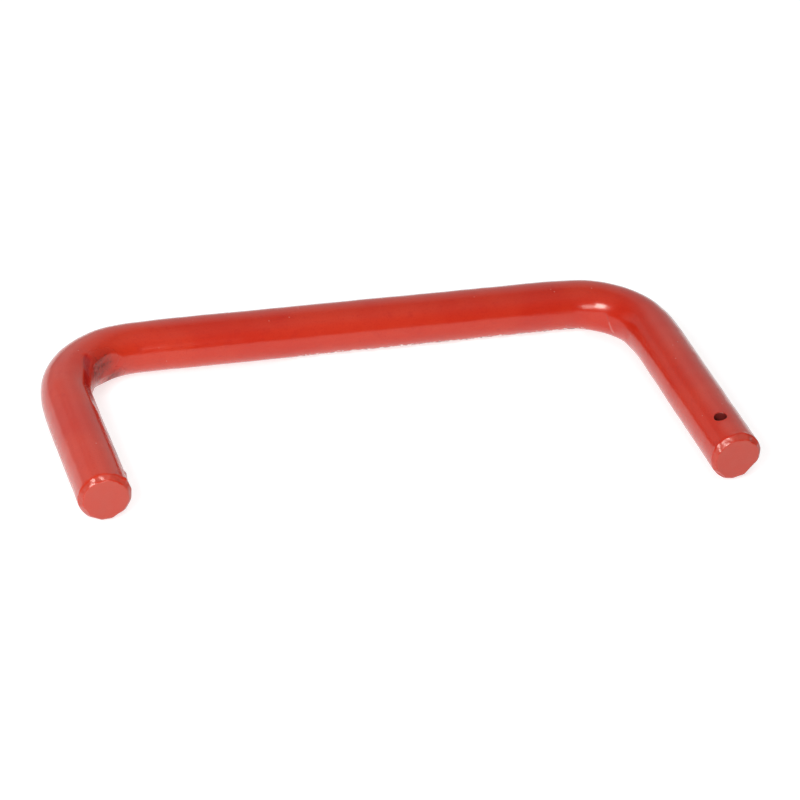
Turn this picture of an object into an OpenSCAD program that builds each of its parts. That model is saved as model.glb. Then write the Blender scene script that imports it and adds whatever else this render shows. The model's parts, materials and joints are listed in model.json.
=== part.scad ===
// U-shaped hand bar: one solid round bar with two square bends, chamfered ends and
// a small cross hole near the end of its longer leg, which takes a retaining pin.
// It lies flat, with its lowest line at Z = 0. The crossbar runs along X, both legs
// point along -Y, and the origin is under the middle of the bar's outer box.
// Every length is in millimetres and every angle in degrees.

/* [Bar] */
// Diameter of the round bar
bar_d = 25; // [16:1:40]
// Distance between the two legs, centre line to centre line
leg_spacing = 299; // [220:1:400]

/* [Plain leg, left] */
// Reach of the plain leg, from the crossbar's centre line to the leg's end
plain_reach = 124; // [100:1:200]
// Radius of the plain leg's bend, at the bar's centre line
plain_bend_r = 44; // [32:1:60]

/* [Drilled leg, right] */
// Reach of the drilled leg, from the crossbar's centre line to the leg's end
drilled_reach = 148; // [120:1:240]
// Radius of the drilled leg's bend, at the bar's centre line
drilled_bend_r = 36; // [32:1:60]

/* [Cross hole] */
// Diameter of the cross hole
hole_d = 6; // [3:0.5:10]
// Distance from the drilled leg's end to the hole's centre
hole_from_end = 19; // [12:0.5:40]
// Angle that the hole is turned around the leg, towards the other leg
hole_turn = 14; // [-45:1:45]

/* [Ends] */
// Width of the end chamfer, measured across the bar
chamfer_w = 2.2; // [0.5:0.1:5]
// Length of the end chamfer, measured along the bar
chamfer_l = 2.6; // [0.5:0.1:6]

/* [Hidden] */
$fn = 96;
bar_r = bar_d / 2;
longest_reach = max(plain_reach, drilled_reach);
// The crossbar's centre line, placed so that the outer box is centred on Y = 0
crossbar_y = (longest_reach - bar_r) / 2;
crossbar_z = bar_r;
crossbar_l = leg_spacing - plain_bend_r - drilled_bend_r;
// The drill runs past both sides of the bar by this much
drill_overrun = 2;

// Straight stretch of crossbar between the two bends
module crossbar() {
    translate([plain_bend_r - leg_spacing / 2, 0, 0])
        rotate([0, 90, 0])
            cylinder(d = bar_d, h = crossbar_l);
}

// Quarter bend that leaves the crossbar along +X and arrives in the leg along -Y
module bend(bend_r) {
    translate([leg_spacing / 2 - bend_r, -bend_r, 0])
        rotate_extrude(angle = 90)
            translate([bend_r, 0])
                circle(d = bar_d);
}

// Straight stretch of a leg, from its bend to its chamfered end
module leg(reach, bend_r) {
    straight_l = reach - bend_r - chamfer_l;
    translate([leg_spacing / 2, -bend_r, 0])
        rotate([90, 0, 0]) {
            cylinder(d = bar_d, h = straight_l);
            translate([0, 0, straight_l])
                cylinder(r1 = bar_r, r2 = bar_r - chamfer_w, h = chamfer_l);
        }
}

// Drill for the cross hole, through the middle of the drilled leg
module hole_drill() {
    translate([leg_spacing / 2, hole_from_end - drilled_reach, 0])
        rotate([0, -hole_turn, 0])
            cylinder(d = hole_d, h = bar_d + 2 * drill_overrun, center = true);
}

module bent_bar() {
    color([0.78, 0.2, 0.13])
        translate([0, crossbar_y, crossbar_z])
            difference() {
                union() {
                    crossbar();
                    bend(drilled_bend_r);
                    leg(drilled_reach, drilled_bend_r);
                    mirror([1, 0, 0]) {
                        bend(plain_bend_r);
                        leg(plain_reach, plain_bend_r);
                    }
                }
                hole_drill();
            }
}

bent_bar();
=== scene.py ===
"""Looks of the U-shaped tow bar: a bent round bar under uneven gloss enamel.

The bar is one mesh, swept along the CAD model's centre line. Its skin has the marks that
a real one shows: flattened and pressed bends, a pitted patch, hand-ground ends and a
drilled hole whose rim is rounded by the paint. Lengths are in metres and angles in radians,
unless a comment or a docstring says otherwise.
"""
import json
import math

import bmesh
import bpy
import numpy as np
from mathutils import Matrix, Vector, noise


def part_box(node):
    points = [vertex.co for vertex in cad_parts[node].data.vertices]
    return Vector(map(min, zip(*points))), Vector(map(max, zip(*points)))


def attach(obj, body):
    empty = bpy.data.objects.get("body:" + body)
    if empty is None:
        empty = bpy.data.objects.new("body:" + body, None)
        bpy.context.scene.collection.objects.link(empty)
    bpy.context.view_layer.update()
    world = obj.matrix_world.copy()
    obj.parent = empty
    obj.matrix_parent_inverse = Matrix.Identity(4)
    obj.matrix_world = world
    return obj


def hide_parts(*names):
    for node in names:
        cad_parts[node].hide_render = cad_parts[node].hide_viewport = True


MM = 0.001
TAU = 2 * math.pi

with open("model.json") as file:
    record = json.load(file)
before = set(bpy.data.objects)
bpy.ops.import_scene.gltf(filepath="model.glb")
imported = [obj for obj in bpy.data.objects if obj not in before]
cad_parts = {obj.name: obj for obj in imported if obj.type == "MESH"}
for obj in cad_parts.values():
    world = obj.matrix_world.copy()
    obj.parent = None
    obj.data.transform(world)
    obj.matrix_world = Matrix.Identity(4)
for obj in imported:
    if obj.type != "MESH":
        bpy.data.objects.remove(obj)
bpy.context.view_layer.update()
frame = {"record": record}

# ---------------------------------------------------------------- sizes, from the frame
NODE = "bent_bar"
box_low, box_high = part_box(NODE)
mounts = {mount["name"]: mount for mount in frame["record"]["mounts"]}


def wall_span(name):
    """Highest and lowest Y of a leg's straight round wall."""
    half = mounts[name]["dims"]["length_mm"] * MM / 2
    middle = mounts[name]["pos_m"][1]
    return middle + half, middle - half


BAR_R = mounts["plain_leg"]["dims"]["r_mm"] * MM
HOLE_R = mounts["pin_hole"]["dims"]["r_mm"] * MM
PLAIN_X = mounts["plain_leg"]["pos_m"][0]
DRILLED_X = mounts["drilled_leg"]["pos_m"][0]
MID_Z = mounts["plain_leg"]["pos_m"][2]
CROSSBAR_Y = box_high.y - BAR_R
plain_top, plain_foot = wall_span("plain_leg")
drilled_top, drilled_foot = wall_span("drilled_leg")
PLAIN_BEND_R = CROSSBAR_Y - plain_top
DRILLED_BEND_R = CROSSBAR_Y - drilled_top
CHAMFER_L = drilled_foot - box_low.y
PLAIN_END_Y = plain_foot - CHAMFER_L
DRILLED_END_Y = box_low.y

# Stations along the centre line, from the plain leg's end to the drilled leg's end
BEND_1 = plain_top - PLAIN_END_Y
CROSSBAR = BEND_1 + PLAIN_BEND_R * math.pi / 2
BEND_2 = CROSSBAR + (DRILLED_X - PLAIN_X) - PLAIN_BEND_R - DRILLED_BEND_R
DRILLED_LEG = BEND_2 + DRILLED_BEND_R * math.pi / 2
LENGTH = DRILLED_LEG + drilled_top - DRILLED_END_Y
HOLE_S = DRILLED_LEG + drilled_top - mounts["pin_hole"]["pos_m"][1]
hole_axis = Vector(mounts["pin_hole"]["axis"])
# Around the bar, angle 0 faces the inside of the U and a quarter turn faces up
HOLE_ANGLE = math.atan2(hole_axis.z, -hole_axis.x)

# ---------------------------------------------------------------- mesh density
COLUMNS = 160
COLUMN_ANGLE = TAU / COLUMNS
PATCH_CELLS = 12            # half the side of the square patch around the hole
PATCH_STEP = BAR_R * COLUMN_ANGLE
LEG_STEP = 1.2 * MM         # spacing of the rings on each stretch
BEND_STEP = 0.7 * MM
CROSSBAR_STEP = 1.6 * MM
TIP_STEP = 0.6 * MM         # from the hole to the drilled end


def centre_line(s):
    """Points and unit tangents of the centre line at stations s."""
    s = np.atleast_1d(np.asarray(s, float))
    x, y, tx, ty = (np.zeros_like(s) for _ in range(4))
    on = s < BEND_1
    x[on], y[on], ty[on] = PLAIN_X, PLAIN_END_Y + s[on], 1
    on = (s >= BEND_1) & (s < CROSSBAR)
    turn = (s[on] - BEND_1) / PLAIN_BEND_R
    x[on] = PLAIN_X + PLAIN_BEND_R * (1 - np.cos(turn))
    y[on] = plain_top + PLAIN_BEND_R * np.sin(turn)
    tx[on], ty[on] = np.sin(turn), np.cos(turn)
    on = (s >= CROSSBAR) & (s < BEND_2)
    x[on], y[on], tx[on] = PLAIN_X + PLAIN_BEND_R + s[on] - CROSSBAR, CROSSBAR_Y, 1
    on = (s >= BEND_2) & (s < DRILLED_LEG)
    turn = (s[on] - BEND_2) / DRILLED_BEND_R
    x[on] = DRILLED_X - DRILLED_BEND_R * (1 - np.sin(turn))
    y[on] = drilled_top + DRILLED_BEND_R * np.cos(turn)
    tx[on], ty[on] = np.cos(turn), -np.sin(turn)
    on = s >= DRILLED_LEG
    x[on], y[on], ty[on] = DRILLED_X, drilled_top - (s[on] - DRILLED_LEG), -1
    return x, y, tx, ty


def place(s, angle, radius):
    """Points at stations s, at the given angles around the bar and distances from its axis."""
    x, y, tx, ty = centre_line(s)
    inward = radius * np.cos(angle)
    height = MID_Z + radius * np.sin(angle) + 0 * x
    return np.stack([x + inward * ty, y - inward * tx, height], axis=-1)


# ---------------------------------------------------------------- skin: its marks and zones
def turned(angle, middle):
    """Angle from middle, brought into -half a turn to half a turn."""
    return (angle - middle + math.pi) % TAU - math.pi


def hump(s, angle, at, middle, reach, spread):
    """Smooth hump of height 1 at a station, at a middle angle in degrees.

    Reach is its half-width along the bar, spread its half-width around it in degrees.
    """
    across = turned(angle, math.radians(middle)) / math.radians(spread)
    return np.exp(-((s - at) / reach) ** 2 - across ** 2)


def strongest(s, angle, spots):
    """Highest of several humps: station, angle and half-widths of each as for hump, then height."""
    return np.maximum.reduce([height * hump(s, angle, at, middle, reach, spread)
                              for at, middle, reach, spread, height in spots])


def step_up(value, start, width):
    """0 before start, 1 after start + width, smooth between."""
    t = np.clip((value - start) / width, 0, 1)
    return t * t * (3 - 2 * t)


PLAIN_BEND_MID = (BEND_1 + CROSSBAR) / 2
# Dents and bulges of bending: station, angle in degrees, half-width along and around, height
BEND_MARKS = [
    (PLAIN_BEND_MID - 3 * MM, 330, 8 * MM, 34, -0.7 * MM),     # inside corner pressed in
    (BEND_1 + 6 * MM, 183, 11 * MM, 40, -0.7 * MM),            # outside stretched flat
    (CROSSBAR - 3 * MM, 125, 12 * MM, 30, -0.4 * MM),
    (DRILLED_LEG - 5 * MM, 322, 9 * MM, 32, 0.8 * MM),         # inside squeezed out
    (BEND_2 + 3 * MM, 125, 8 * MM, 34, -0.3 * MM),
    (DRILLED_LEG - 6 * MM, 140, 9 * MM, 30, -0.35 * MM),
    (11 * MM, 25, 1.5 * MM, 8, 0.6 * MM),                      # burr behind the plain end
]
# Long, shallow waves left by rolling: waves per metre, waves around, phase, height
ROLLING_WAVES = [
    (11, 1, 0.4, 0.04 * MM), (23, 2, 2.1, 0.03 * MM), (37, -1, 4.0, 0.025 * MM),
    (61, 3, 1.3, 0.015 * MM), (83, -2, 5.2, 0.012 * MM), (127, 4, 3.3, 0.008 * MM),
]


def noise_at(points, size, offset):
    """Smooth noise from about -1 to 1 at points, with features of the given size."""
    return np.array([noise.noise(Vector(p) / size + offset) for p in points.reshape(-1, 3)]
                    ).reshape(points.shape[:-1])


def off_path(s, angle, path):
    """Distance over the skin from a path of (station, angle in degrees) points."""
    nearest = np.full(np.broadcast(s, angle).shape, np.inf)
    for (s0, degrees0), (s1, degrees1) in zip(path, path[1:]):
        middle = math.radians((degrees0 + degrees1) / 2)
        along, around = s - s0, BAR_R * (turned(angle, middle) + middle - math.radians(degrees0))
        run, rise = s1 - s0, BAR_R * math.radians(degrees1 - degrees0)
        share = np.clip((along * run + around * rise) / (run ** 2 + rise ** 2), 0, 1)
        nearest = np.minimum(nearest, np.hypot(along - share * run, around - share * rise))
    return nearest


# Torn patch inside the plain bend and rubbed places on the plain leg: station, angle in degrees,
# half-width along and around, strength
PITTED = [(PLAIN_BEND_MID - 1 * MM, 20, 17 * MM, 38, 1.5), (PLAIN_BEND_MID + 13 * MM, 330, 9 * MM, 28, 1.5)]
PITTED_CUT = 0.3            # strength that is cut off all over, which gives the patch an edge
SCUFFED = [(BEND_1 - 54 * MM, 28, 19 * MM, 17, 1.0), (BEND_1 + 6 * MM, 12, 22 * MM, 15, 0.7),
           (BEND_1 - 36 * MM, 177, 14 * MM, 9, 0.7)]

# Flats pressed inside the bends, with their facing angles in degrees. The places where one fades
# in, turns or fades out are the station and the length over which it does so
FLAT_COSINE = 0.5           # least cosine from a flat's middle at which its plane is still followed
FLAT_EASE = 4               # a flat is taken over in full from a quarter of its share on
PRESS_IN = (PLAIN_BEND_MID - 13 * MM, 8 * MM)
PRESS_OUT = (PLAIN_BEND_MID + 10 * MM, 12 * MM)
PRESS_FACING = 12
PRESS_DEPTH = 1.2 * MM
FOLD_IN = (BEND_1 - 24 * MM, 14 * MM)
FOLD_TURN = (BEND_1 + 13 * MM, 17 * MM)
FOLD_OUT = (BEND_1 + 28 * MM, 4 * MM)
FOLD_FACING = 38
FOLD_LIFT = 20              # degrees that the fold turns up by at its far end
FOLD_DEPTH = 0.36 * MM
FOLD_SHADE_EDGE = (math.radians(8), math.radians(2.5))   # where its painted shade ends, and over what angle
DIE_START = BEND_2 + 1 * MM
DIE_RUN = 26 * MM
DIE_FACING = 3
DIE_DEPTH = 0.55 * MM
DIE_MOST = 1.2              # share of its run that the flat may reach before the crease ends it

# Crease that ends the drilled bend's flat, and the raised part of it: station and angle in degrees
CREASE = [(BEND_2 + 26 * MM, 24), (BEND_2 + 34 * MM, -24)]
CREASE_RIDGE = [(BEND_2 + 30.5 * MM, -3), (BEND_2 + 34 * MM, -24)]
CREASE_HEIGHT = 0.10 * MM
CREASE_REACH = 0.6 * MM
# How far the painted highlight along the ridge spreads
CREASE_HIGHLIGHT_REACH = 0.7 * MM

# Worn strip low on the inside of the crossbar, placed like the flats
WEAR_IN = (CROSSBAR + 50 * MM, 45 * MM)
WEAR_OUT = (BEND_2 + 8 * MM, 10 * MM)
WEAR_FACING = 306
WEAR_SPREAD = 15

# Roughness of damaged skin: sizes of its two noises, share of the finer one, depth in each zone,
# and how high the noise may stand out of the skin
ROUGH_SIZE = 2.6 * MM
ROUGH_FINE_SIZE = 1.3 * MM
ROUGH_FINE = 0.6
PITTED_DEPTH = 0.25 * MM
SCUFFED_DEPTH = 0.12 * MM
WORN_DEPTH = 0.22 * MM
TORN_TOP = 0.2
WORN_TOP = 0.1


def pitted_zone(s, angle):
    """1 on the patch inside the plain bend that the bending tool tore rough, 0 elsewhere. The paint there
    is also darkened as painted shade of the inside corner.
    """
    return np.clip(strongest(s, angle, PITTED) - PITTED_CUT, 0, 1)


def scuffed_zone(s, angle):
    """1 where the plain leg and its bend have been rubbed dark, 0 elsewhere."""
    return strongest(s, angle, SCUFFED)


def underside_wear(s, angle):
    """1 where the crossbar has been dragged and knocked on its lower inside edge, 0 elsewhere."""
    along = step_up(s, *WEAR_IN) * (1 - step_up(s, *WEAR_OUT))
    across = turned(angle, math.radians(WEAR_FACING)) / math.radians(WEAR_SPREAD)
    return along * np.exp(-across ** 2)


def flattened(radius, angle, middle, depth, share):
    """Radius with a flat that faces the middle angle, pressed in by a share of its full depth."""
    flat = (BAR_R - depth * share) / np.maximum(np.cos(turned(angle, middle)), FLAT_COSINE)
    return radius - np.clip(FLAT_EASE * share, 0, 1) * np.maximum(radius - flat, 0)


def fold_strip(s):
    """Share and facing angle of the strip that is folded flat inside the plain bend."""
    share = step_up(s, *FOLD_IN) * (1 - step_up(s, *FOLD_OUT))
    return share, math.radians(FOLD_FACING) + math.radians(FOLD_LIFT) * step_up(s, *FOLD_TURN)


def fold_shade_zone(s, angle):
    """1 on the folded strip, where the paint is darkened as painted shade of the crease, 0 elsewhere."""
    share, facing = fold_strip(s)
    return share * (1 - step_up(np.abs(turned(angle, facing)), *FOLD_SHADE_EDGE))


def die_flats(s, angle, radius):
    """Radius with the flats that the bending die pressed inside the bends."""
    pressed = step_up(s, *PRESS_IN) * (1 - step_up(s, *PRESS_OUT))
    radius = flattened(radius, angle, math.radians(PRESS_FACING), PRESS_DEPTH, pressed)
    strip, strip_angle = fold_strip(s)
    radius = flattened(radius, angle, strip_angle, FOLD_DEPTH, strip)
    (top_s, top_degrees), (foot_s, foot_degrees) = CREASE
    lean = (foot_s - top_s) / math.radians(top_degrees - foot_degrees)
    crease_s = top_s + lean * (math.radians(top_degrees) - turned(angle, 0))
    share = np.clip((s - DIE_START) / DIE_RUN, 0, DIE_MOST) ** 2
    share = share * (1 - step_up(s, crease_s - CREASE_REACH, 2 * CREASE_REACH))
    return flattened(radius, angle, math.radians(DIE_FACING), DIE_DEPTH, share)


def skin_radius(s, angle):
    """Distance of the skin from the centre line."""
    radius = np.full(np.broadcast(s, angle).shape, BAR_R)
    for at, middle, reach, spread, height in BEND_MARKS:
        radius = radius + height * hump(s, angle, at, middle, reach, spread)
    for per_metre, around, phase, height in ROLLING_WAVES:
        radius = radius + height * np.sin(TAU * per_metre * s + around * angle + phase)
    radius = die_flats(s, angle, radius)
    off_ridge = off_path(s, angle, CREASE_RIDGE)
    radius = radius + CREASE_HEIGHT * np.exp(-(off_ridge / CREASE_REACH) ** 2)
    points = place(s, angle, radius)
    rough = (noise_at(points, ROUGH_SIZE, Vector((3, 1, 7)))
             + ROUGH_FINE * noise_at(points, ROUGH_FINE_SIZE, Vector((9, 4, 2))))
    torn = PITTED_DEPTH * pitted_zone(s, angle) + SCUFFED_DEPTH * scuffed_zone(s, angle)
    worn = WORN_DEPTH * underside_wear(s, angle)
    return radius + torn * np.minimum(rough, TORN_TOP) + worn * np.minimum(rough, WORN_TOP)


# ---------------------------------------------------------------- ends: cut flat, ground by hand
PIVOT = 6.5 * MM            # the end's profile is swept around a pivot this deep in the bar
PROFILE_STEPS = 38
FACE_RINGS = 9
EDGE_ROUND = 0.16 * MM      # how far the paint rounds each ground edge
GROUND_FADE = 0.8 * MM      # depth below the untouched corner at which an edge counts as fully ground
FAR = 1.0                   # distance that stands for a facet which a ray never meets
TINY = 1e-6                 # keeps a division by nothing away
FACET_SIDE = 0.2            # least cosine, across the bar and along the ray, at which a facet is felt
FACET_SLOPE = 0.05
# Filing marks on the ground edges and saw marks on the faces: sizes and depths
BITE_SIZE = 1.9 * MM
BITE_DEPTH = 0.26 * MM
BITE_FINE_SIZE = 0.8 * MM
BITE_FINE_DEPTH = 0.03 * MM
BITE_TOP = 0.2              # how high the coarse noise may stand out of the skin
BITE_LEAN = 0.7             # share of a bite that goes along the bar, and as much goes across it
SAW_SIZE = 3 * MM
SAW_DEPTH = 0.03 * MM
FACE_DEPTH = 0.3 * MM       # depth from the end plane that still counts as its face
# Ground facets: angle around the bar in degrees, width across it and length along it in millimetres
PLAIN_FACETS = [
    (8, 2.1, 2.6), (38, 2.3, 2.4), (66, 2.5, 2.6), (96, 2.6, 2.5), (124, 2.2, 2.5), (152, 2.0, 2.6),
    (181, 2.2, 2.9), (214, 2.4, 3.3), (243, 2.0, 2.7), (274, 1.9, 2.2), (305, 2.1, 2.4), (336, 1.8, 2.3),
]
DRILLED_FACETS = [
    (12, 2.0, 2.3), (40, 2.5, 3.0), (69, 2.2, 2.4), (93, 2.5, 2.9), (126, 2.2, 2.6), (156, 1.8, 2.2),
    (183, 1.9, 2.8), (218, 3.0, 5.2), (252, 2.0, 2.7), (281, 1.7, 2.0), (312, 2.0, 2.4), (342, 1.7, 2.2),
]
# Hollows and burrs on the ground edges: angle around the bar, angle along the profile from the face,
# half-widths of both, all in degrees, and height
PLAIN_EDGE_MARKS = [
    (107, 46, 9, 12, -0.55 * MM), (52, 44, 8, 13, -0.5 * MM), (78, 50, 5, 10, 0.3 * MM),
    (135, 56, 6, 9, -0.35 * MM), (41, 62, 5, 7, 0.75 * MM), (160, 60, 7, 8, 0.2 * MM),
    (250, 50, 12, 12, -0.25 * MM), (300, 52, 9, 10, -0.3 * MM), (12, 58, 6, 8, 0.25 * MM),
]
DRILLED_EDGE_MARKS = [
    (58, 50, 7, 10, -0.4 * MM), (84, 58, 6, 8, 0.25 * MM), (104, 62, 6, 6, 0.35 * MM),
    (128, 46, 9, 12, -0.5 * MM), (30, 60, 8, 9, 0.25 * MM), (196, 50, 7, 12, 0.2 * MM),
    (262, 44, 10, 10, -0.35 * MM), (320, 52, 9, 11, -0.25 * MM),
]


def end_profile(angle, side_radius, facets, marks):
    """Depth from the end plane, distance from the axis and how ground, from face to side."""
    climb = np.radians(np.linspace(0, 90, PROFILE_STEPS + 1))[:, None]
    cos_c, sin_c = np.cos(climb), np.sin(climb)
    pivot_r = side_radius - PIVOT
    flat = PIVOT + 0 * angle
    walls = [flat / np.maximum(cos_c, TINY), flat / np.maximum(sin_c, TINY)]
    for middle, width, length in facets:
        away = np.cos(turned(angle, math.radians(middle)))
        lean = width / length
        room = side_radius - width * MM + lean * PIVOT - pivot_r * away
        slope = sin_c * away + lean * cos_c
        met = (away > FACET_SIDE) & (slope > FACET_SLOPE)
        walls.append(np.where(met, room / np.maximum(slope, FACET_SLOPE), FAR))
    walls = np.array(walls)
    nearest = walls.min(axis=0)
    reach = nearest - EDGE_ROUND * np.log(np.exp((nearest - walls) / EDGE_ROUND).sum(axis=0))
    ground = np.clip((np.minimum(walls[0], walls[1]) - nearest) / GROUND_FADE, 0, 1)
    for middle, place_at, spread, rise, height in marks:
        across = turned(angle, math.radians(middle)) / math.radians(spread)
        along = (np.degrees(climb) - place_at) / rise
        reach = reach + height * np.exp(-across ** 2 - along ** 2)
    return PIVOT - reach * cos_c, pivot_r + reach * sin_c, ground


def end_rings(side_s, sense, facets, marks, offset):
    """Rings of one end, from its face to its side: points, stations and how ground each one is.

    Sense is 1 where stations run from the end into the bar and -1 where they run out of it.
    """
    angle = column_angles[None, :]
    side_radius = skin_radius(np.full(COLUMNS, side_s), column_angles)[None, :]
    depth, radius, ground = end_profile(angle, side_radius, facets, marks)
    share = (np.arange(1, FACE_RINGS + 1) / (FACE_RINGS + 1))[:, None]
    depth = np.concatenate([share * 0 * angle + depth[0], depth])
    radius = np.concatenate([share * radius[0], radius])
    ground = np.concatenate([share * 0 * angle, ground])
    end_s = side_s - sense * PIVOT
    stations = end_s + sense * depth
    angles = np.broadcast_to(angle, depth.shape)
    points = place(stations, angles, radius)
    coarse = np.minimum(noise_at(points, BITE_SIZE, offset), BITE_TOP)
    fine = noise_at(points, BITE_FINE_SIZE, offset)
    bite = ground * (BITE_DEPTH * coarse + BITE_FINE_DEPTH * fine) * BITE_LEAN
    saw = SAW_DEPTH * noise_at(points, SAW_SIZE, offset) * (depth < FACE_DEPTH)
    points = place(stations - sense * (bite + saw), angles, radius + bite)
    return points, stations, np.maximum(ground, np.where(depth < EDGE_ROUND, 1, 0))


# ---------------------------------------------------------------- cross hole
RIM_ROUND = 0.55 * MM       # radius of the painted rim
RIM_STEPS = 6
WALL_STEPS = 14
FAN_STEPS = 7
FAN_CROWD = 1.25            # more than 1 crowds the fan's rings towards the rim
LIP_HEIGHT = 0.05 * MM      # paint heaped up round the rim, and how steeply it rises to there
LIP_POWER = 6


def square_walk():
    """Grid steps (around, along) of the patch's border, once round from one corner."""
    n = PATCH_CELLS
    line = range(-n, n)
    return ([(i, -n) for i in line] + [(n, i) for i in line]
            + [(-i, n) for i in line] + [(-n, -i) for i in line])


def mouth_rings(mouth_angle):
    """Rings of one mouth of the hole, from inside the square border to its wall, and their stations."""
    border = np.array(square_walk(), float)
    around = border[:, 0] * COLUMN_ANGLE
    along = border[:, 1] * PATCH_STEP
    turn = np.arctan2(along, around * BAR_R)
    rim_r = HOLE_R + RIM_ROUND
    rim_around = np.arcsin(rim_r * np.cos(turn) / BAR_R)
    rim_along = rim_r * np.sin(turn)
    rings, stations = [], []
    for step in range(1, FAN_STEPS + 1):
        share = 1 - (1 - step / FAN_STEPS) ** FAN_CROWD
        angle = mouth_angle + around + share * (rim_around - around)
        s = HOLE_S + along + share * (rim_along - along)
        lip = LIP_HEIGHT * share ** LIP_POWER
        rings.append(place(s, angle, skin_radius(s, angle) + lip))
        stations.append(s)
    x, y, _, _ = centre_line(HOLE_S)
    middle = np.array([x[0], y[0], MID_Z])
    out = place(HOLE_S, mouth_angle, 1.0)[0] - middle
    across = place(HOLE_S, mouth_angle + math.pi / 2, 1.0)[0] - middle
    forward = np.array([0.0, -1.0, 0.0])
    for step in range(1, RIM_STEPS + 1):
        fall = step / RIM_STEPS * math.pi / 2
        r = HOLE_R + RIM_ROUND * (1 - math.sin(fall))
        sideways, along = r * np.cos(turn), r * np.sin(turn)
        height = (np.sqrt(BAR_R ** 2 - sideways ** 2) - RIM_ROUND * (1 - math.cos(fall))
                  + LIP_HEIGHT * math.cos(fall))
        rings.append(middle + np.outer(sideways, across) + np.outer(along, forward) + np.outer(height, out))
        stations.append(HOLE_S + along)
    return rings, stations


# ---------------------------------------------------------------- the bar's mesh
column_angles = HOLE_ANGLE + np.arange(COLUMNS) * COLUMN_ANGLE


def fill(start, stop, step):
    """Evenly spaced stations from start up to, but not at, stop."""
    count = max(1, round((stop - start) / step))
    return list(np.linspace(start, stop, count, endpoint=False))


class Skin:
    """Vertices and faces of the bar as they are gathered, with where each vertex lies on it."""

    def __init__(self):
        self.points, self.stations, self.angles, self.ground, self.bore = [], [], [], [], []
        self.faces = []
        self.count = 0

    def add(self, points, stations, angles, ground=0.0, bore=0.0):
        """Adds a ring and returns its vertex numbers."""
        size = len(points)
        self.points.append(np.asarray(points, float))
        for held, new in ((self.stations, stations), (self.angles, angles),
                          (self.ground, ground), (self.bore, bore)):
            held.append(np.broadcast_to(np.asarray(new, float), size))
        self.count += size
        return np.arange(self.count - size, self.count)

    def bridge(self, ring, following, skip=()):
        """Quads between two rings, apart from the skipped columns."""
        size = len(ring)
        for i in range(size):
            if i not in skip:
                j = (i + 1) % size
                self.faces.append((ring[i], following[i], following[j], ring[j]))

    def cap(self, ring, centre):
        """A fan from a ring to its middle point."""
        size = len(ring)
        for i in range(size):
            self.faces.append((ring[i], ring[(i + 1) % size], centre))


def add_end(skin, side_s, sense, facets, marks, offset):
    """Adds one end and returns its side ring."""
    points, stations, ground = end_rings(side_s, sense, facets, marks, offset)
    middle = skin.add([points[0].mean(axis=0)], stations[0].mean(), 0, 1)[0]
    rings = [skin.add(ring, s, column_angles, share)
             for ring, s, share in zip(points, stations, ground)]
    skin.cap(rings[0], middle)
    for ring, following in zip(rings, rings[1:]):
        skin.bridge(ring, following)
    return rings[-1]


def add_mouth(skin, rows, first_row, column, mouth_angle):
    """Fills the square left open around one mouth of the hole and returns the ring on its wall."""
    border = [rows[first_row + PATCH_CELLS + along][(column + around) % COLUMNS]
              for around, along in square_walk()]
    rings, stations = mouth_rings(mouth_angle)
    ring = border
    for i, (points, s) in enumerate(zip(rings, stations)):
        bore = max(0, (i + 1 - FAN_STEPS) / RIM_STEPS)
        following = skin.add(points, s, mouth_angle, bore=bore)
        skin.bridge(ring, following)
        ring = following
    return ring, rings[-1]


def bar_mesh():
    """The whole bar as one closed mesh."""
    skin = Skin()
    first = add_end(skin, PIVOT, 1, PLAIN_FACETS, PLAIN_EDGE_MARKS, Vector((2, 8, 5)))
    last = add_end(skin, LENGTH - PIVOT, -1, DRILLED_FACETS, DRILLED_EDGE_MARKS, Vector((6, 3, 9)))
    patch = [HOLE_S + i * PATCH_STEP for i in range(-PATCH_CELLS, PATCH_CELLS + 1)]
    before = (fill(PIVOT, BEND_1, LEG_STEP)[1:] + fill(BEND_1, CROSSBAR, BEND_STEP)
              + fill(CROSSBAR, BEND_2, CROSSBAR_STEP) + fill(BEND_2, DRILLED_LEG, BEND_STEP)
              + fill(DRILLED_LEG, patch[0], LEG_STEP))
    stations = before + patch + fill(patch[-1], LENGTH - PIVOT, TIP_STEP)[1:]
    rows = []
    for s in stations:
        ring_s = np.full(COLUMNS, s)
        radius = skin_radius(ring_s, column_angles)
        rows.append(skin.add(place(ring_s, column_angles, radius), s, column_angles))
    first_row = len(before)
    hole_columns = [(column + i) % COLUMNS for column in (0, COLUMNS // 2)
                    for i in range(-PATCH_CELLS, PATCH_CELLS)]
    all_rows = [first] + rows + [last]
    for i, (ring, following) in enumerate(zip(all_rows, all_rows[1:])):
        in_patch = first_row < i <= first_row + 2 * PATCH_CELLS
        skin.bridge(ring, following, hole_columns if in_patch else ())
    upper, upper_points = add_mouth(skin, rows, first_row, 0, HOLE_ANGLE)
    lower, lower_points = add_mouth(skin, rows, first_row, COLUMNS // 2, HOLE_ANGLE + math.pi)
    walk = square_walk()
    partner = [walk.index((-around, along)) for around, along in walk]
    facing = lower_points[partner]
    ring = upper
    for step in range(1, WALL_STEPS):
        share = step / WALL_STEPS
        wall = upper_points + share * (facing - upper_points)
        following = skin.add(wall, HOLE_S, HOLE_ANGLE, bore=1)
        skin.bridge(ring, following)
        ring = following
    skin.bridge(ring, [lower[i] for i in partner])
    return skin


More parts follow.
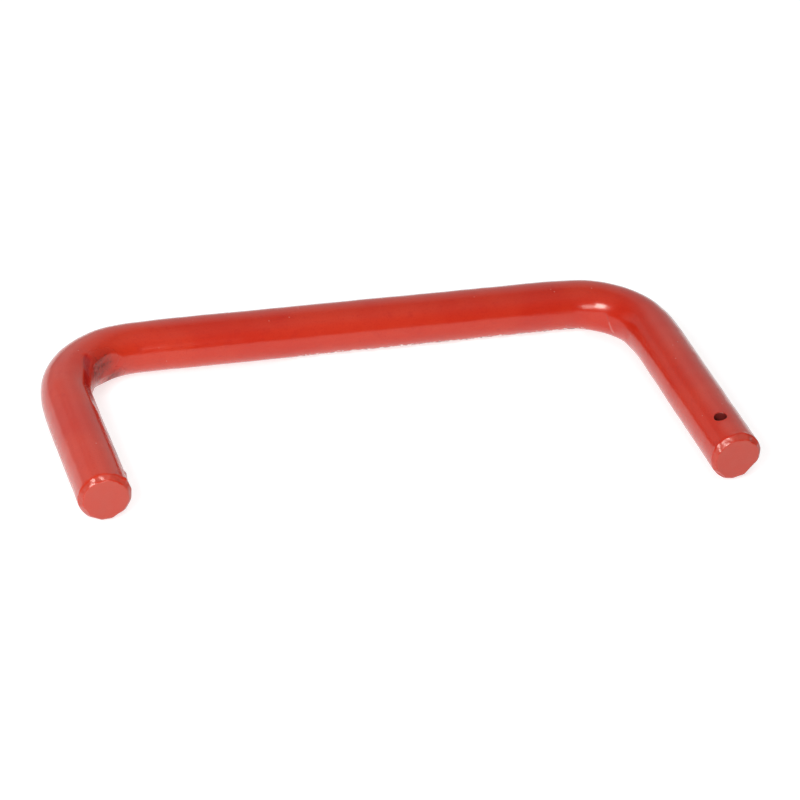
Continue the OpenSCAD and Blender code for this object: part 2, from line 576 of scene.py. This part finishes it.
def build_bar():
    """The bar as a Blender object, with the point attributes that its paint reads."""
    skin = bar_mesh()
    stations, angles = np.concatenate(skin.stations), np.concatenate(skin.angles)
    faces = [tuple(map(int, face)) for face in skin.faces]
    mesh = bpy.data.meshes.new("painted_bar")
    mesh.from_pydata(np.concatenate(skin.points).tolist(), [], faces)
    off_ridge = off_path(stations, angles, CREASE_RIDGE)
    for name, values in (("pitted", pitted_zone(stations, angles)),
                         ("chipped", underside_wear(stations, angles)),
                         ("scuffed", scuffed_zone(stations, angles)),
                         ("folded", fold_shade_zone(stations, angles)),
                         ("crease", np.exp(-(off_ridge / CREASE_HIGHLIGHT_REACH) ** 2)),
                         ("ground", np.concatenate(skin.ground)),
                         ("bore", np.concatenate(skin.bore))):
        attribute = mesh.attributes.new(name, "FLOAT", "POINT")
        attribute.data.foreach_set("value", values.astype(np.float32))
    tidy = bmesh.new()
    tidy.from_mesh(mesh)
    bmesh.ops.delete(tidy, geom=[v for v in tidy.verts if not v.link_faces], context="VERTS")
    bmesh.ops.recalc_face_normals(tidy, faces=tidy.faces)
    tidy.to_mesh(mesh)
    tidy.free()
    mesh.polygons.foreach_set("use_smooth", [True] * len(mesh.polygons))
    bar = bpy.data.objects.new("painted_bar", mesh)
    bpy.context.scene.collection.objects.link(bar)
    return bar


# ---------------------------------------------------------------- paint
class Graph:
    """Short calls for building a material's nodes."""

    def __init__(self, name):
        self.material = bpy.data.materials.new(name)
        self.material.use_nodes = True
        self.tree = self.material.node_tree
        self.shader = self.tree.nodes["Principled BSDF"]
        coordinates = self.tree.nodes.new("ShaderNodeTexCoord")
        in_mm = self.tree.nodes.new("ShaderNodeMapping")
        in_mm.inputs["Scale"].default_value = (1 / MM,) * 3
        self.tree.links.new(coordinates.outputs["Object"], in_mm.inputs["Vector"])
        self.millimetres = in_mm.outputs["Vector"]

    def link(self, value, socket):
        """Sets a socket from another node's output or from a constant."""
        if isinstance(value, bpy.types.NodeSocket):
            self.tree.links.new(value, socket)
        else:
            socket.default_value = value

    def noise(self, size_mm, detail=2.0, rough=0.5, stretch=None):
        """Noise from 0 to 1 with features of the given size, scaled on each axis by stretch."""
        node = self.tree.nodes.new("ShaderNodeTexNoise")
        vector = self.millimetres
        if stretch:
            scaled = self.tree.nodes.new("ShaderNodeMapping")
            scaled.inputs["Scale"].default_value = stretch
            self.link(vector, scaled.inputs["Vector"])
            vector = scaled.outputs["Vector"]
        self.link(vector, node.inputs["Vector"])
        node.inputs["Scale"].default_value = 1 / size_mm
        node.inputs["Detail"].default_value = detail
        node.inputs["Roughness"].default_value = rough
        return node.outputs["Fac"]

    def cells(self, size_mm):
        """Distance to the nearest of scattered points, in cell sizes."""
        node = self.tree.nodes.new("ShaderNodeTexVoronoi")
        self.link(self.millimetres, node.inputs["Vector"])
        node.inputs["Scale"].default_value = 1 / size_mm
        return node.outputs["Distance"]

    def attribute(self, name):
        """Value of one of the mesh's point attributes."""
        node = self.tree.nodes.new("ShaderNodeAttribute")
        node.attribute_name = name
        return node.outputs["Fac"]

    def math(self, operation, a, b=0.0, clamp=False):
        """Result of a Math node, held to 0 to 1 if clamp is set."""
        node = self.tree.nodes.new("ShaderNodeMath")
        node.operation, node.use_clamp = operation, clamp
        self.link(a, node.inputs[0])
        self.link(b, node.inputs[1])
        return node.outputs[0]

    def both(self, a, b, share=None):
        """Product of two masks, held to 0 to 1, and times a share if there is one."""
        product = self.math("MULTIPLY", a, b, clamp=True)
        return product if share is None else self.math("MULTIPLY", product, share)

    def lifted(self, value, mask, amount):
        """Value raised by an amount where the mask is 1."""
        return self.math("ADD", value, self.math("MULTIPLY", mask, amount))

    def ramp(self, value, low, high, to_low=0.0, to_high=1.0):
        """Maps low..high to to_low..to_high smoothly, and holds the ends."""
        node = self.tree.nodes.new("ShaderNodeMapRange")
        node.interpolation_type = "SMOOTHSTEP"
        for socket, number in zip(("Value", "From Min", "From Max", "To Min", "To Max"),
                                  (value, low, high, to_low, to_high)):
            self.link(number, node.inputs[socket])
        return node.outputs["Result"]

    def mix(self, share, a, b):
        """Mix of two colours."""
        node = self.tree.nodes.new("ShaderNodeMix")
        node.data_type = "RGBA"
        self.link(share, node.inputs["Factor"])
        for value, socket in ((a, node.inputs[6]), (b, node.inputs[7])):
            self.link((*value, 1) if isinstance(value, tuple) else value, socket)
        return node.outputs[2]

    def bump(self, height, depth, below=None):
        """Bump whose height of 1 stands for the given depth in metres."""
        node = self.tree.nodes.new("ShaderNodeBump")
        node.inputs["Strength"].default_value = 1
        node.inputs["Distance"].default_value = depth
        self.link(height, node.inputs["Height"])
        if below is not None:
            self.link(below, node.inputs["Normal"])
        return node.outputs["Normal"]


# Colours of the enamel, linear
RED = (0.455, 0.0195, 0.0075)
RED_THIN = (0.49, 0.029, 0.011)
RED_DEEP = (0.36, 0.010, 0.006)
RED_MATT = (0.41, 0.046, 0.030)
# Painted shade of the plain bend's inside corner
RED_CORNER_SHADE = (0.29, 0.014, 0.010)
# Painted shade of the crease along the folded strip
RED_FOLD_SHADE = (0.33, 0.008, 0.007)
# Pale red of the dust nibs, and of the painted highlight along the crease
PALE_RED_DUST_AND_HIGHLIGHT = (0.60, 0.30, 0.26)
# Dark brown of grime, and of the painted shade in the torn patch's blotches
GRIME_AND_SHADE = (0.17, 0.015, 0.009)
# Dark red of the hole's wall: partly grimy, thinly painted steel, partly painted shade inside the hole
BORE_DARK_SHADE = (0.16, 0.012, 0.010)
# Pale chips: partly chipped paint, partly a painted glint along the crossbar's lower edge
PALE_CHIP_AND_GLINT = (0.80, 0.70, 0.66)
DARK_CHIP = (0.12, 0.030, 0.022)

# Sizes in millimetres of what the noises draw
CLOUD_SIZE = 34
MOTTLE_SIZE = 5.5
GRAIN_SIZE = 0.8
NIB_SPACING = 7.5
SPECK_SIZE = 1.5
BLOTCH_SIZE = 4.5
KNOCK_SIZE = 1.5
KNOCK_STRETCH = (0.5, 1, 1)     # makes the chips longer along the crossbar
CHIP_DARKNESS_SIZE = 2.6
SMEAR_SIZE = 9
PEEL_SIZE = 0.9
RUN_SIZE = 7
PIT_SIZE = 1.6
FILED_SIZE = 1.8

# Values of a noise or a mask between which each mark comes in
CLOUD_RANGE = (0.35, 0.68)
MOTTLE_RANGE = (0.52, 0.8)
GRAIN_RANGE = (0.5, 0.75)
MATT_RANGE = (0.3, 0.7)
NIB_RANGE = (0.03, 0.06)        # distance from a nib's middle, in spacings
PIT_RANGE = (0.60, 0.66)
BLOTCH_RANGE = (0.42, 0.62)
RUB_RANGE = (0.60, 0.70)
CHIP_RANGE = (0.67, 0.70)
CHIP_ZONE_RANGE = (0.1, 0.4)
CHIP_DARKNESS_RANGE = (0.56, 0.62)
SMEAR_RANGE = (0.3, 0.75)

# How much of its colour each mark lays over the red
MOTTLE_SHARE = 0.35
GRAIN_SHARE = 0.3
MATT_SHARE = (0.75, 1.0)
PITTED_SHADE_SHARE = 0.65
NIB_SHARE = 0.3
PIT_SHARE = 0.95
BLOTCH_SHARE = 0.45
RUB_SHARE = 0.9
CREASE_HIGHLIGHT_SHARE = 0.4

# How far each zone's mask raises the noise that draws its marks
PITTED_LIFT = 0.10
SCUFFED_LIFT = 0.20
CHIPPED_LIFT = 0.27

# Roughness: of sound paint, what each zone adds to it, and of chips and the hole's wall
SOUND_ROUGH = (0.17, 0.25)
PITTED_ROUGH = 0.30
SCUFFED_ROUGH = 0.12
GROUND_ROUGH = 0.13
CHIP_ROUGH = 0.55

# Depths of the bumps
PEEL_DEPTH = 0.028 * MM
RUN_DEPTH = 0.06 * MM
NIB_DEPTH = 0.04 * MM
PIT_DEPTH = 0.12 * MM
FILED_DEPTH = 0.04 * MM
CHIP_DEPTH = 0.06 * MM
WEAR_SHARE = 0.5                # depth of the pits where chipped or scuffed, as a share of the patch's


def enamel_colour(g, zones, nibs, chip):
    """Red paint with its marks, painted shade and painted highlights, laid over one another from the
    broadest to the smallest.
    """
    mottle = g.noise(MOTTLE_SIZE, detail=4, rough=0.6)
    red = g.mix(g.ramp(g.noise(CLOUD_SIZE, detail=3), *CLOUD_RANGE), RED, RED_THIN)
    red = g.mix(g.ramp(mottle, *MOTTLE_RANGE, 0, MOTTLE_SHARE), red, RED_DEEP)
    red = g.mix(g.ramp(g.noise(GRAIN_SIZE), *GRAIN_RANGE, 0, GRAIN_SHARE), red, RED_DEEP)
    matt = g.math("MULTIPLY", zones["ground"], g.ramp(mottle, *MATT_RANGE, *MATT_SHARE))
    red = g.mix(matt, red, RED_MATT)
    # Painted shade: the torn patch in the plain bend's inside corner is darkened all over
    red = g.mix(g.math("MULTIPLY", zones["pitted"], PITTED_SHADE_SHARE), red, RED_CORNER_SHADE)
    # Painted shade: the folded strip inside the plain bend is darkened for the shade and dark reflection in
    # its crease
    red = g.mix(zones["folded"], red, RED_FOLD_SHADE)
    red = g.mix(g.math("MULTIPLY", nibs, NIB_SHARE), red, PALE_RED_DUST_AND_HIGHLIGHT)
    # Grime lies in the torn patch as small pits and where the bar was rubbed. The patch's soft blotches are
    # partly grime and partly painted shade of its inside corner
    speck = g.noise(SPECK_SIZE, detail=5, rough=0.65)
    pit = g.ramp(g.lifted(speck, zones["pitted"], PITTED_LIFT), *PIT_RANGE)
    red = g.mix(g.both(pit, zones["pitted"], PIT_SHARE), red, GRIME_AND_SHADE)
    grime_shade_blotch = g.ramp(g.noise(BLOTCH_SIZE, detail=5, rough=0.65), *BLOTCH_RANGE)
    red = g.mix(g.both(grime_shade_blotch, zones["pitted"], BLOTCH_SHARE), red, GRIME_AND_SHADE)
    rub = g.ramp(g.lifted(speck, zones["scuffed"], SCUFFED_LIFT), *RUB_RANGE)
    red = g.mix(g.both(rub, zones["scuffed"], RUB_SHARE), red, GRIME_AND_SHADE)
    # Chips are dark in some places and pale in others; the pale ones are partly chipped paint and partly a
    # painted glint of the ragged lower edge
    chip_darkness = g.ramp(g.noise(CHIP_DARKNESS_SIZE, detail=3), *CHIP_DARKNESS_RANGE)
    red = g.mix(chip, red, g.mix(chip_darkness, PALE_CHIP_AND_GLINT, DARK_CHIP))
    # Painted highlight: a pale line along the crease's raised ridge
    red = g.mix(g.math("MULTIPLY", zones["crease"], CREASE_HIGHLIGHT_SHARE), red, PALE_RED_DUST_AND_HIGHLIGHT)
    # Painted shade: the hole's wall is painted dark, partly for its grimy steel and partly for the shade
    # inside it
    return g.mix(zones["bore"], red, BORE_DARK_SHADE)


def enamel_roughness(g, zones, chip):
    """Roughness of the paint: smeared gloss, duller in each zone and dullest in chips and the hole."""
    smear = g.noise(SMEAR_SIZE, detail=3, rough=0.55)
    rough = g.ramp(smear, *SMEAR_RANGE, *SOUND_ROUGH)
    for zone, added in (("pitted", PITTED_ROUGH), ("scuffed", SCUFFED_ROUGH), ("ground", GROUND_ROUGH)):
        rough = g.lifted(rough, zones[zone], added)
    bare = g.math("MAXIMUM", chip, zones["bore"])
    return g.math("MAXIMUM", rough, g.math("MULTIPLY", bare, CHIP_ROUGH))


def enamel_bumps(g, zones, nibs, chip):
    """Bumps of the paint: orange peel, runs, nibs, pits, filing marks and chips."""
    knocked = g.math("MAXIMUM", zones["chipped"], zones["scuffed"])
    wear = g.math("MAXIMUM", zones["pitted"], g.math("MULTIPLY", knocked, WEAR_SHARE))
    pits = g.math("MULTIPLY", g.noise(PIT_SIZE, detail=4, rough=0.6), wear)
    filed = g.math("MULTIPLY", g.noise(FILED_SIZE), zones["ground"])
    normal = None
    for height, depth in ((g.noise(PEEL_SIZE), PEEL_DEPTH),
                          (g.noise(RUN_SIZE, rough=0.4), RUN_DEPTH),
                          (nibs, NIB_DEPTH),
                          (pits, PIT_DEPTH),
                          (filed, FILED_DEPTH),
                          (g.math("SUBTRACT", 1.0, chip), CHIP_DEPTH)):
        normal = g.bump(height, depth, normal)
    return normal


def enamel():
    """Thick hand-sprayed gloss enamel: orange peel, pits, grime in hollows and small chips, with painted
    shade in the plain bend's inside corner, its fold and the hole, and painted highlights on the crease and
    the pale chips.
    """
    g = Graph("red_enamel")
    zones = {name: g.attribute(name)
             for name in ("pitted", "chipped", "scuffed", "folded", "crease", "ground", "bore")}
    # Nibs are dust caught in the paint
    nibs = g.ramp(g.cells(NIB_SPACING), *NIB_RANGE, 1, 0)
    knocks = g.noise(KNOCK_SIZE, detail=4, rough=0.65, stretch=KNOCK_STRETCH)
    chip = g.ramp(g.lifted(knocks, zones["chipped"], CHIPPED_LIFT), *CHIP_RANGE)
    chip = g.both(chip, g.ramp(zones["chipped"], *CHIP_ZONE_RANGE))
    g.link(enamel_colour(g, zones, nibs, chip), g.shader.inputs["Base Color"])
    g.link(enamel_roughness(g, zones, chip), g.shader.inputs["Roughness"])
    g.link(enamel_bumps(g, zones, nibs, chip), g.shader.inputs["Normal"])
    g.shader.inputs["IOR"].default_value = 1.5
    g.shader.inputs["Specular Tint"].default_value = (1.0, 0.90, 0.82, 1)
    g.shader.inputs["Coat Weight"].default_value = 0.1
    g.shader.inputs["Coat Roughness"].default_value = 0.1
    return g.material


FLOOR_HALF = 12.0
FLOOR_LIGHT = (0.50, 0.50, 0.50)
FLOOR_DARK = (0.485, 0.485, 0.485)
FLOOR_MOTTLE_SIZE = 60
FLOOR_GLOW = 0.67


def pale_floor():
    """Very slightly mottled material that glows by itself, so that shadows on it stay faint."""
    g = Graph("pale_floor")
    shade = g.mix(g.noise(FLOOR_MOTTLE_SIZE), FLOOR_LIGHT, FLOOR_DARK)
    g.link(shade, g.shader.inputs["Base Color"])
    g.shader.inputs["Roughness"].default_value = 0.8
    g.shader.inputs["Specular IOR Level"].default_value = 0.1
    g.shader.inputs["Emission Color"].default_value = (1, 1, 1, 1)
    g.shader.inputs["Emission Strength"].default_value = FLOOR_GLOW
    return g.material


# ---------------------------------------------------------------- scene
def build_floor():
    """Large pale floor at the height that the bar lies on."""
    corners = [(x * FLOOR_HALF, y * FLOOR_HALF, 0) for x, y in ((-1, -1), (1, -1), (1, 1), (-1, 1))]
    mesh = bpy.data.meshes.new("floor")
    mesh.from_pydata(corners, [], [(0, 1, 2, 3)])
    mesh.materials.append(pale_floor())
    floor = bpy.data.objects.new("floor", mesh)
    bpy.context.scene.collection.objects.link(floor)


def towards(azimuth, elevation):
    """Unit vector at an azimuth from -Y, positive to +X, and an elevation, in degrees."""
    azimuth, elevation = math.radians(azimuth), math.radians(elevation)
    return Vector((math.sin(azimuth) * math.cos(elevation), -math.cos(azimuth) * math.cos(elevation),
                   math.sin(elevation)))


def soft_light(name, azimuth, elevation, distance, size, roll, radiance, mirrored):
    """Oval lamp that faces the frame's origin and is hidden from the camera.

    Size is its width and height, roll turns it about its own axis, in degrees, and radiance
    is the brightness of its face. A lamp that is not mirrored does not show in the gloss.
    """
    lamp = bpy.data.lights.new(name, "AREA")
    lamp.shape = "ELLIPSE"
    lamp.size, lamp.size_y = size
    lamp.energy = radiance * math.pi * math.pi / 4 * size[0] * size[1]
    direction = towards(azimuth, elevation)
    holder = bpy.data.objects.new(name, lamp)
    holder.matrix_world = (Matrix.Translation(direction * distance)
                           @ direction.to_track_quat("Z", "Y").to_matrix().to_4x4()
                           @ Matrix.Rotation(math.radians(roll), 4, "Z"))
    holder.visible_camera = False
    holder.visible_glossy = mirrored
    bpy.context.scene.collection.objects.link(holder)


# Glows of the studio: azimuth, elevation, half-angles where each ends and where it is full, strength
WALL_GLOWS = [(155, 22, 48, 14, 0.60), (-160, 32, 38, 8, 0.28), (0, 80, 65, 20, 0.18)]
STUDIO_GLOW = 0.04


def build_surround():
    """Dim studio: walls that glow behind the bar, to the right and to the left, and a dim ceiling."""
    world = bpy.data.worlds.new("studio")
    world.use_nodes = True
    nodes, links = world.node_tree.nodes, world.node_tree.links
    coordinates = nodes.new("ShaderNodeTexCoord")
    total = None
    for azimuth, elevation, outer, inner, strength in WALL_GLOWS:
        facing = nodes.new("ShaderNodeVectorMath")
        facing.operation = "DOT_PRODUCT"
        facing.inputs[1].default_value = towards(azimuth, elevation)
        links.new(coordinates.outputs["Generated"], facing.inputs[0])
        fade = nodes.new("ShaderNodeMapRange")
        fade.interpolation_type = "SMOOTHSTEP"
        for socket, number in (("From Min", math.cos(math.radians(outer))),
                               ("From Max", math.cos(math.radians(inner))), ("To Max", strength)):
            fade.inputs[socket].default_value = number
        links.new(facing.outputs["Value"], fade.inputs["Value"])
        add = nodes.new("ShaderNodeMath")
        add.inputs[0].default_value = STUDIO_GLOW
        if total is not None:
            links.new(total, add.inputs[0])
        links.new(fade.outputs["Result"], add.inputs[1])
        total = add.outputs[0]
    links.new(total, nodes["Background"].inputs["Strength"])
    nodes["Background"].inputs["Color"].default_value = (1, 1, 1, 1)
    bpy.context.scene.world = world


# Angles in degrees
CAMERA_AZIMUTH = -19.634
CAMERA_ELEVATION = 32.655
CAMERA_ROLL = 4.85
CAMERA_DISTANCE = 1.6206
CAMERA_AIM = Vector((6.6 * MM, -1.5 * MM, MID_Z))
CAMERA_LENS = 152.6         # millimetres
CAMERA_SENSOR = 36


def build_camera():
    """Camera at the photograph's angle, with a slight roll."""
    back = towards(CAMERA_AZIMUTH, CAMERA_ELEVATION)
    right = Vector((0, 0, 1)).cross(back).normalized()
    turn = Matrix((right, back.cross(right), back)).transposed().to_4x4()
    camera = bpy.data.cameras.new("camera")
    camera.lens = CAMERA_LENS
    camera.sensor_width = CAMERA_SENSOR
    holder = bpy.data.objects.new("camera", camera)
    holder.matrix_world = (Matrix.Translation(CAMERA_AIM + back * CAMERA_DISTANCE) @ turn
                           @ Matrix.Rotation(math.radians(CAMERA_ROLL), 4, "Z"))
    bpy.context.scene.collection.objects.link(holder)
    bpy.context.scene.camera = holder


# Name, azimuth, elevation, distance, size, roll, radiance and whether mirrored
LIGHTS = [("key", -42, 36, 1.5, (0.76, 0.46), -45, 19, True),
          ("spill", -13, 25, 1.5, (0.9, 0.48), -20, 6, True),
          ("side_card", -127, 14, 0.62, (0.42, 0.36), 0, 0.25, True),
          ("side_wall", -127, 16, 0.66, (0.8, 0.66), 0, 0.25, True),
          ("overhead", 50, 80, 1.6, (1.7, 1.7), 0, 1.15, False)]

build_camera()
build_floor()
build_surround()
for light in LIGHTS:
    soft_light(*light)

bar = build_bar()
bar.data.materials.append(enamel())
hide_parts(NODE)
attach(bar, "root")

bpy.context.scene.view_settings.view_transform = "Standard"
